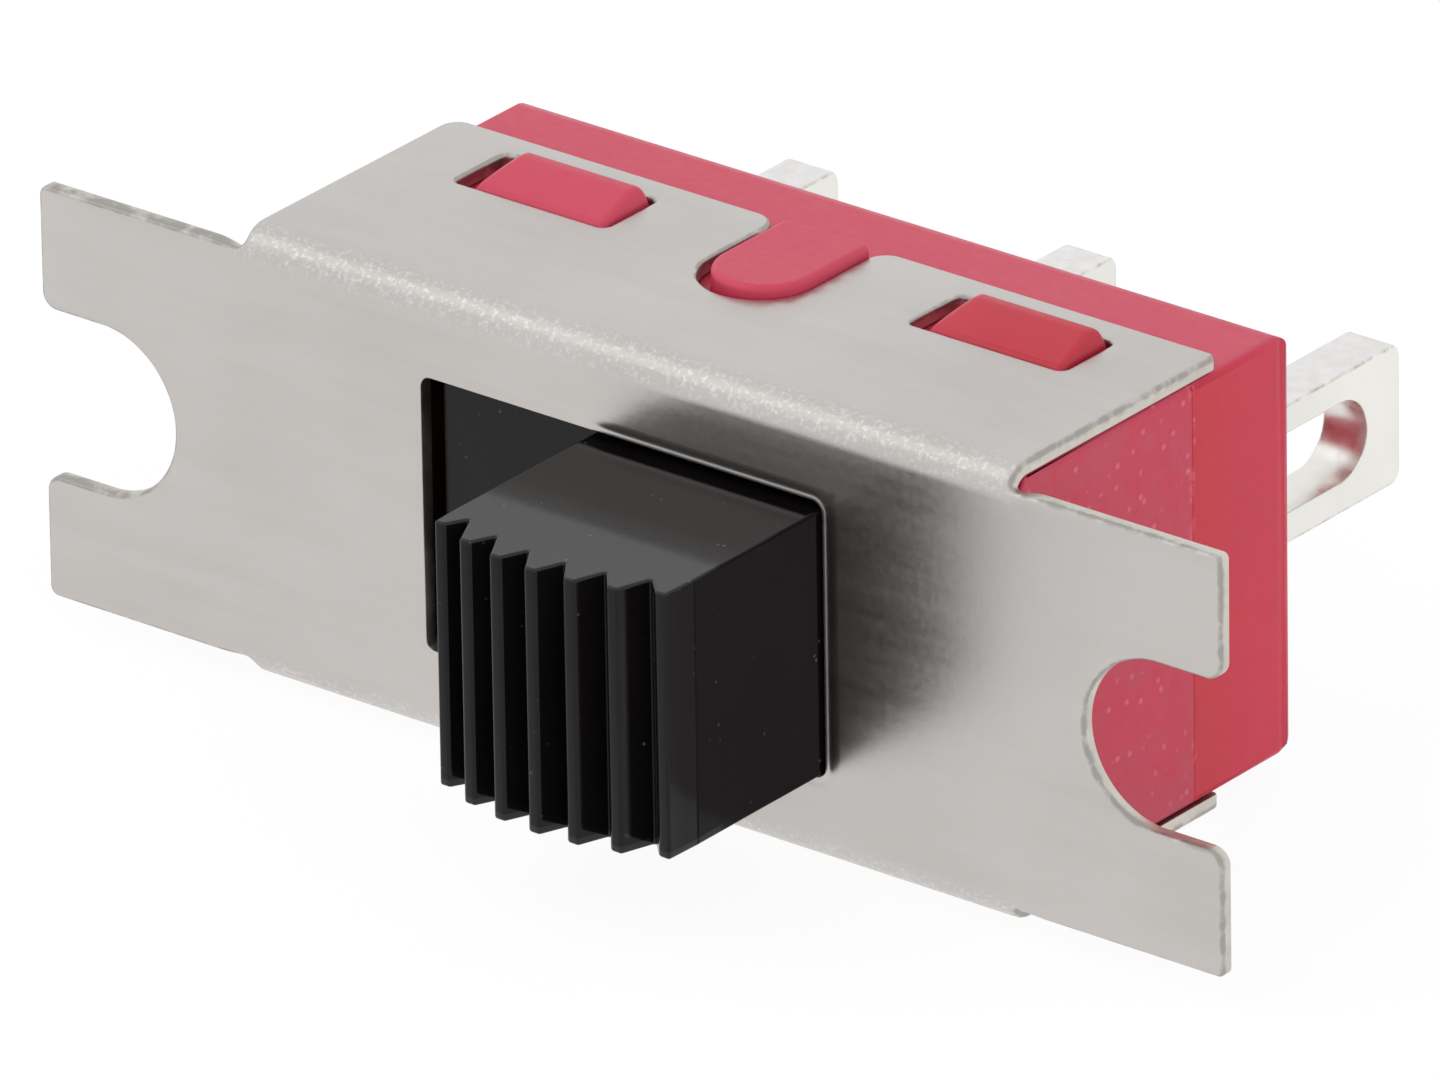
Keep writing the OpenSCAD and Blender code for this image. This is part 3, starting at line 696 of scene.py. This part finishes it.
def blank_quarter(corners):
    """A quarter of the flat blank's outline, anticlockwise from the notch's inner end, with an end's corners."""
    b = {**BLANK, "ear_corner": corners["ear"], "flange_corner": corners["flange"]}
    key_s, back = flange_s(b["key_centre"]), flange_s(b["flange_back"])
    lip = (b["half_length"] - b["notch_lip"], b["notch_r"] + b["notch_lip"])
    top = (b["half_length"] - b["ear_corner"], b["ear_top"] - b["ear_corner"])
    relief = (b["half_channel"] + b["relief_r"], b["ear_top"] + b["relief_r"])
    corner = (b["half_channel"] - b["flange_corner"], back - b["flange_corner"])
    mouth = (b["key_half"] + b["key_mouth"], back - b["key_mouth"])
    return (arc(b["notch_x"], 0, b["notch_r"], 180, 90, 24) + arc(*lip, b["notch_lip"], -90, 0)
            + arc(*top, b["ear_corner"], 0, 90) + arc(*relief, b["relief_r"], 270, 180)
            + arc(*corner, b["flange_corner"], 0, 90, 12) + arc(*mouth, b["key_mouth"], 90, 180, 12)
            + arc(0, key_s, b["key_half"], 0, -90, 24) + [(0, key_s - b["key_half"])])


def blank_outline():
    """The flat blank's outline, anticlockwise, from quarters that are mirrored."""
    right, left = blank_quarter(CUT_CORNERS), blank_quarter(LEFT_CORNERS)
    upper = right + [(-x, y) for x, y in reversed(left[:-1])]
    return upper + [(x, -y) for x, y in reversed(upper[1:-1])]


def oblong(cx, cy, width, height, r):
    """A rectangle with round corners, clockwise, as holes run."""
    x, y = width / 2 - r, height / 2 - r
    ring = []
    for sx, sy, start in ((1, 1, 0), (-1, 1, 90), (-1, -1, 180), (1, -1, 270)):
        ring += arc(cx + sx * x, cy + sy * y, r, start, start + 90, 6) + [
            (cx + sx * x + r * round(math.cos(math.radians(start + 90))),
             cy + sy * y + r * round(math.sin(math.radians(start + 90))))]
    return ring[::-1]


def fine_steps(ring, longest=0.12):
    """The ring with more points on its long sides."""
    out = []
    for (x0, y0), (x1, y1) in zip(ring, ring[1:] + ring[:1]):
        count = max(1, math.ceil(math.hypot(x1 - x0, y1 - y0) / longest))
        out += [(x0 + (x1 - x0) * k / count, y0 + (y1 - y0) * k / count) for k in range(count)]
    return out


def outward(ring):
    """At each point of a ring, the direction out of the sheet, which lies on the ring's left."""
    p = np.array(ring)
    run = np.roll(p, -1, 0) - p
    side = np.stack([run[:, 1], -run[:, 0]], 1) / np.linalg.norm(run, axis=1)[:, None]
    both = side + np.roll(side, 1, 0)
    return both / np.linalg.norm(both, axis=1)[:, None]


def inside(points, rings):
    """Which points lie in the sheet: inside an odd number of rings."""
    odd = np.zeros(len(points), bool)
    x, y = points[:, 0], points[:, 1]
    for ring in rings:
        p = np.array(ring)
        for (x0, y0), (x1, y1) in zip(p, np.roll(p, -1, 0)):
            if y0 != y1:
                odd ^= ((y0 > y) != (y1 > y)) & (x < (x1 - x0) * (y - y0) / (y1 - y0) + x0)
    return odd


def blank_grid(rings):
    """Points inside the blank, close together across the two folds, and none near an edge."""
    start, bend = FOLD["Fold Start"], FOLD["Fold Radius"] * math.pi / 2
    rows = list(np.arange(0.2, start, 0.4)) + list(np.linspace(start, start + bend, 13))
    rows += list(np.arange(start + bend + 0.3, flange_s(BLANK["flange_back"]), 0.4))
    columns = np.arange(-BLANK["half_length"], BLANK["half_length"], 0.2)
    points = np.array([(x, sign * s) for s in rows for x in columns for sign in (-1, 1)])
    points = points[inside(points, rings)]
    edge = np.concatenate([np.array(r) for r in rings])
    gap = np.array([np.min(np.hypot(*(edge - p).T)) for p in points])
    return points[gap > 0.15]


def sheet_triangles(flat, edges, borders):
    """Triangles that fill the sheet. They spread from sure ones, and never across a border."""
    points, _, triangles, source, _, _ = delaunay_2d_cdt(flat, edges, [], 0, 1e-7)
    middles = np.array([(points[a] + points[b] + points[c]) / 3 for a, b, c in triangles])
    triangles = [[source[c][0] for c in corners] for corners in triangles]
    beside = {}
    for t, corners in enumerate(triangles):
        for a, b in zip(corners, corners[1:] + corners[:1]):
            beside.setdefault(frozenset((a, b)), []).append(t)
    walls = {frozenset(e) for e in edges}
    last_border = max(max(e) for e in edges)
    sure = inside(middles, borders)
    found = {t for t, corners in enumerate(triangles) if sure[t] and min(corners) > last_border}
    waiting = list(found)
    while waiting:
        corners = triangles[waiting.pop()]
        for a, b in zip(corners, corners[1:] + corners[:1]):
            key = frozenset((a, b))
            for t in beside[key] if key not in walls else ():
                if t not in found:
                    found.add(t)
                    waiting.append(t)
    return [triangles[t] for t in sorted(found)]


def blank_rings():
    """The flat blank's rings: its outline, the knob's window and the four snap windows."""
    s = flange_s(SNAP["front"] + SNAP["depth"] / 2)
    snaps = [oblong(sx * SNAP["x"], ss * s, SNAP["width"], SNAP["depth"], SNAP["corner"])
             for sx in (-1, 1) for ss in (-1, 1)]
    return [fine_steps(ring) for ring in [blank_outline(), oblong(0, 0, *WINDOW.values())] + snaps]


def rim_profiles():
    """For each ring, how far its rim is set in at each depth of the sheet, from its front to its back."""
    quarter = [math.radians(a) for a in (0, 22.5, 45, 67.5, 90)]
    rolled = [(ROLL_WIDTH * (1 - math.sin(a)), ROLL_DEPTH * (1 - math.cos(a))) for a in quarter]
    rolled += [(0.0, ROLL_DEPTH + ROLL_LAND)]
    inner = [(INNER_ROUND * (1 - math.cos(a)), SHEET - INNER_ROUND * (1 - math.sin(a))) for a in quarter]
    return [rolled + inner, WINDOW_LIP + inner] + [rolled + inner] * 4


def add_rims(shape, rings, ways, profiles):
    """Each ring's rolled and sheared rim. Gives its vertices back, level by level."""
    rim = shape.verts.layers.float.new("rim")
    rims = []
    for ring, way, profile in zip(rings, ways, profiles):
        levels = [[shape.verts.new((x, depth, z)) for x, z in np.array(ring) - way * inset]
                  for inset, depth in profile]
        rims.append(levels)
        for level, (upper, lower) in enumerate(zip(levels, levels[1:])):
            for k in range(len(ring)):
                dullness = RIM_RIGHT if ring[k][0] > 0 else RIM_LEFT
                upper[k][rim] = 0.0 if profile is profiles[1] else dullness[level]
                m = (k + 1) % len(ring)
                face = shape.faces.new((upper[k], upper[m], lower[m], lower[k]))
                face.material_index = 1 if level >= SHEARED_LEVEL else 0
    return rims


def fill_side(shape, grid, borders, rims, level, depth):
    """Fills the sheet's front or back between the rims' outermost level there."""
    flat, edges, known = [], [], []
    for border, levels in zip(borders, rims):
        first = len(flat)
        flat += [Vector(q) for q in border]
        known += levels[level]
        edges += [(first + k, first + (k + 1) % len(border)) for k in range(len(border))]
    flat += [Vector(q) for q in grid]
    known += [shape.verts.new((q[0], depth, q[1])) for q in grid]
    for corners in sheet_triangles(flat, edges, borders):
        picked = [known[c] for c in corners]
        shape.faces.new(picked if level == 0 else picked[::-1])


def rounded_blank(sheet, edge):
    """The flat sheet with rounded, sheared edges. Its mesh holds (along, depth, across) as x, y, z."""
    rings, profiles = blank_rings(), rim_profiles()
    ways = [outward(ring) for ring in rings]
    shape = bmesh.new()
    rims = add_rims(shape, rings, ways, profiles)
    grid = blank_grid(rings)
    for level, depth in ((0, 0.0), (-1, SHEET)):
        borders = [np.array(ring) - way * profile[level][0] for ring, way, profile in zip(rings, ways, profiles)]
        fill_side(shape, grid, borders, rims, level, depth)
    bmesh.ops.recalc_face_normals(shape, faces=shape.faces)
    mesh = bpy.data.meshes.new("folded_bracket")
    bmesh.ops.scale(shape, vec=(MM, MM, MM), verts=shape.verts)
    shape.to_mesh(mesh)
    shape.free()
    mesh.materials.append(sheet)
    mesh.materials.append(edge)
    return add_object("folded_bracket", mesh)


def fold_recipe():
    """Folds both sides of the flat blank back round a radius, and eases the fold out where the ears begin."""
    r = Recipe("fold", FOLD, with_geometry=True)
    i = r.inputs
    x, depth, across = r.add("ShaderNodeSeparateXYZ", {0: r.add("GeometryNodeInputPosition").outputs[0]}).outputs
    away = r.math("ABSOLUTE", across)
    over = r.math("MAXIMUM", r.math("SUBTRACT", away, i["Fold Start"]), 0.0)
    angle = r.math("MINIMUM", r.math("DIVIDE", over, i["Fold Radius"]), math.pi / 2)
    tail = r.math("SUBTRACT", over, r.times(angle, i["Fold Radius"]))
    arm = r.math("SUBTRACT", i["Fold Radius"], depth)
    y = r.math("ADD", r.math("SUBTRACT", i["Fold Radius"], r.times(arm, r.math("COSINE", angle))), tail)
    z = r.math("ADD", r.math("MINIMUM", away, i["Fold Start"]), r.times(arm, r.math("SINE", angle)))
    ease = r.add("ShaderNodeMapRange", {"Value": r.math("ABSOLUTE", x), "From Min": i["Ear Start"],
                                        "From Max": r.math("ADD", i["Ear Start"], i["Relief"]),
                                        "To Min": 1.0, "To Max": 0.0}, interpolation_type="SMOOTHSTEP").outputs[0]
    bent = r.vector(x, y, r.times(z, r.math("SIGN", across)))
    mix = r.add("ShaderNodeMix", {"Factor": ease, 4: r.add("GeometryNodeInputPosition").outputs[0], 5: bent},
                data_type="VECTOR")
    curved = r.times(r.math("SINE", r.times(angle, 2.0)), ease)
    marked = r.add("GeometryNodeStoreNamedAttribute", {"Geometry": i["Geometry"], "Name": "fold_share",
                                                       "Value": curved}, data_type="FLOAT", domain="POINT")
    placed = r.add("GeometryNodeSetPosition", {"Geometry": marked.outputs[0], "Position": mix.outputs[1]})
    r.close(placed.outputs[0])
    return r


def make_bracket(sheet, edge):
    piece = rounded_blank(sheet, edge)
    finishes = [face.material_index for face in piece.data.polygons]
    fold_recipe().run(piece, FOLD, sheet)
    dress(piece, sheet, edge)
    piece.data.polygons.foreach_set("material_index", finishes)
    smooth(piece, sharp_angle=None)
    return place(piece, "housing", "bracket_steel", "bracket")


def end_reach(z):
    """How far the case's end reaches along X at height z, with its long edges rounded."""
    r = CASE_CORNER["end_edge"]
    over = min(max(abs(z) - (CASE_CORNER["half_height"] - r), 0.0), r)
    return CASE_END_X - r + math.sqrt(r * r - over * over)


def crisper_corners(piece):
    """Draws the case's back corners out along X to a smaller radius, under the rounding of its ends' edges."""
    back, radius, r = CASE_CORNER["back"], CASE_CORNER["radius"], CRISPER_CORNER
    for vertex in piece.data.vertices:
        x, y, z = vertex.co / MM
        if y > back - radius and abs(x) > CASE_END_X - radius - 0.001:
            over = min(max(y - (back - r), 0.0), r)
            drawn = min(CASE_END_X - r + math.sqrt(r * r - over * over), end_reach(z))
            vertex.co.x = math.copysign(max(abs(x), drawn), x) * MM
    return piece


def finer_step(piece):
    """Draws the low front of the case's ends out, so that their step is as fine as on the real switch."""
    shape = bmesh.new()
    shape.from_mesh(piece.data)
    for side in (-1, 1):
        start = side * (CASE_CORNER["half_height"] - CASE_CORNER["end_edge"]) * MM
        ends = [face for face in shape.faces if abs(face.normal.x) > 0.99]
        around = {part for face in ends for part in [face, *face.edges, *face.verts]}
        bmesh.ops.bisect_plane(shape, geom=list(around), dist=1e-8, plane_co=(0, 0, start), plane_no=(0, 0, 1))
    shape.to_mesh(piece.data)
    shape.free()
    for vertex in piece.data.vertices:
        x, y, z = vertex.co / MM
        if y < CASE_STEP_Y + 0.001 and CASE_END_X - 0.05 < abs(x) < CASE_END_X - FINE_STEP:
            vertex.co.x = math.copysign(max(abs(x), min(CASE_END_X - FINE_STEP, end_reach(z))), x) * MM
    return piece


def make_case(red):
    def off_ramps(middle):
        return abs(middle.z) < RAMP_START["height"] or abs(middle.x) < RAMP_START["x"]

    def at_step(middle):
        on_end = abs(middle.x) > CASE_END_X - 0.1 and abs(middle.z) < CASE_CORNER["half_height"] - 0.03
        return on_end and abs(middle.y - CASE_STEP_Y) < 0.01

    piece = finer_step(crisper_corners(solid_copy("case", "moulded_case")))
    round_edges(piece, SOFT["ramp"], kept_sharp=off_ramps)
    smooth(round_edges(piece, SOFT["case"], kept_sharp=at_step))
    return place(dress(piece, red), "housing", "red_moulding", "case")


def make_knob(black):
    piece = knob_recipe().make("ribbed_knob", black, {**KNOB, "Ribs": KNOB_RIBS})
    round_edges(piece, SOFT["knob"], segments=4, angle=20)
    witness_recipe().run(piece, WITNESS, black)
    smooth(shift(piece, AT_REST))
    return place(dress(piece, black), "slider", "black_moulding", "actuator")


def make_spring(wire):
    """The spring, one rigid coil on the slider; the real one shortens from its front end as the plunger is pressed."""
    piece = shift(spring_recipe().make("coil_spring", wire, {**SPRING, "Turns": SPRING_TURNS}), AT_REST)
    piece.data.shade_smooth()
    place(piece, "slider", "spring_steel", "contact_spring")
    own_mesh(piece)


def softened_copy(node, name, rounding, material):
    """The CAD node's solid with softened edges and its finish."""
    return dress(smooth(round_edges(solid_copy(node, name), rounding)), material)


def make_lug(side, silver):
    piece = softened_copy("terminal_" + side, "solder_lug_" + side, SOFT["lug"], silver)
    return place(piece, "housing", "silver_plate", "terminal_" + side)


def make_seal(side, resin):
    piece = softened_copy("terminal_seal_" + side, "resin_seal_" + side, SOFT["seal"], resin)
    return place(piece, "housing", "resin", "terminal_seal_" + side)


def make_contact(side, silver):
    piece = softened_copy("end_contact_" + side, "contact_rivet_" + side, SOFT["contact"], silver)
    return place(piece, "housing", "silver_plate", "end_contact_" + side)


def make_rocker(silver):
    piece = softened_copy("rocker_contact", "tilting_rocker", SOFT["rocker"], silver)
    return place(piece, "rocker", "silver_plate", "rocker_contact")


def make_plunger(natural):
    piece = softened_copy("plunger", "round_nosed_plunger", SOFT["plunger"], natural)
    return place(piece, "plunger_pin", "natural_moulding", "plunger")


# ------------------------------------------------------------ stage, light, camera

def show_white(tree, plain, white, output, share=1.0):
    """Puts a white shader before the plain one for rays that see the background, straight, mirrored or refracted."""
    nodes, links = tree.nodes, tree.links
    path = nodes.new("ShaderNodeLightPath")
    seen = path.outputs["Is Camera Ray"]
    for kind in ("Is Glossy Ray", "Is Transmission Ray"):
        either = nodes.new("ShaderNodeMath")
        either.operation = "MAXIMUM"
        links.new(seen, either.inputs[0])
        links.new(path.outputs[kind], either.inputs[1])
        seen = either.outputs[0]
    part = nodes.new("ShaderNodeMath")
    part.operation = "MULTIPLY"
    links.new(seen, part.inputs[0])
    part.inputs[1].default_value = share
    mix = nodes.new("ShaderNodeMixShader")
    links.new(part.outputs[0], mix.inputs["Fac"])
    links.new(plain.outputs[0], mix.inputs[1])
    links.new(white.outputs[0], mix.inputs[2])
    links.new(mix.outputs[0], nodes[output].inputs["Surface"])


def make_world():
    """A plain soft light from all round, and a white background."""
    world = bpy.data.worlds.new("white_tent")
    bpy.context.scene.world = world
    world.use_nodes = True
    nodes = world.node_tree.nodes
    soft, white = nodes["Background"], nodes.new("ShaderNodeBackground")
    for shader, strength in ((soft, 0.66), (white, 1.0)):
        shader.inputs["Color"].default_value = (1, 1, 1, 1)
        shader.inputs["Strength"].default_value = strength
    show_white(world.node_tree, soft, white, "World Output")


def make_floor():
    """A round pale floor that keeps a little of the switch's shadow."""
    mesh = bpy.data.meshes.new("pale_floor")
    shape = bmesh.new()
    bmesh.ops.create_circle(shape, cap_ends=True, radius=1.2, segments=96)
    shape.to_mesh(mesh)
    shape.free()
    floor = add_object("pale_floor", mesh)
    floor.location.z = FLOOR_Z * MM
    material = bpy.data.materials.new("pale_paper")
    material.use_nodes = True
    nodes = material.node_tree.nodes
    paper, glow = nodes["Principled BSDF"], nodes.new("ShaderNodeEmission")
    paper.inputs["Base Color"].default_value = (0.86, 0.86, 0.86, 1)
    paper.inputs["Roughness"].default_value = 0.9
    paper.inputs["Specular IOR Level"].default_value = 0.0
    glow.inputs["Strength"].default_value = 1.03
    show_white(material.node_tree, paper, glow, "Material Output", share=0.9)
    mesh.materials.append(material)


def make_lamp(name, direction, distance, size, radiance, in_mirrors):
    """A square soft light that shines on the switch from a direction, at a radiance where 1 is white."""
    lamp = bpy.data.lights.new(name, "AREA")
    lamp.shape = "SQUARE"
    lamp.size = size
    lamp.energy = radiance * math.pi * size * size
    holder = bpy.data.objects.new(name, lamp)
    back = Vector(direction).normalized()
    holder.location = back * distance
    holder.rotation_mode = "QUATERNION"
    holder.rotation_quaternion = back.to_track_quat("Z", "Y")
    holder.visible_glossy = in_mirrors
    holder.visible_camera = False
    bpy.context.scene.collection.objects.link(holder)


def make_camera(azimuth=38.58227, elevation=25.08718, roll=0.91453, distance=326.354,
                target=(0.8841, 0.9555, 0.4178)):
    a, e, t = (math.radians(x) for x in (azimuth, elevation, roll))
    back = Vector((math.sin(a) * math.cos(e), -math.cos(a) * math.cos(e), math.sin(e)))
    level = Vector((math.cos(a), math.sin(a), 0))
    upright = back.cross(level)
    right = level * math.cos(t) - upright * math.sin(t)
    up = upright * math.cos(t) + level * math.sin(t)
    lens = bpy.data.cameras.new("long_lens")
    lens.sensor_width = 36
    lens.lens = 625
    lens.clip_start, lens.clip_end = 0.02, 5
    camera = bpy.data.objects.new("camera", lens)
    turn = Matrix((right, up, back)).transposed().to_4x4()
    camera.matrix_world = Matrix.Translation(Vector(target) * MM + back * distance * MM) @ turn
    bpy.context.scene.collection.objects.link(camera)
    bpy.context.scene.camera = camera


def main():
    bpy.context.scene.view_settings.view_transform = "Standard"
    make_camera()
    make_world()
    make_floor()
    for name, settings in LAMPS.items():
        make_lamp(name, *settings)
    silver, black, red, resin = silver_plating(), black_moulding(), red_moulding(), potting_resin()
    make_bracket(satin_sheet(), cut_edge())
    make_case(red)
    make_knob(black)
    make_spring(spring_wire())
    make_plunger(natural_moulding())
    make_rocker(silver)
    for side in ("left", "centre", "right"):
        make_lug(side, silver)
        make_seal(side, resin)
    for side in ("left", "right"):
        make_contact(side, silver)


main()
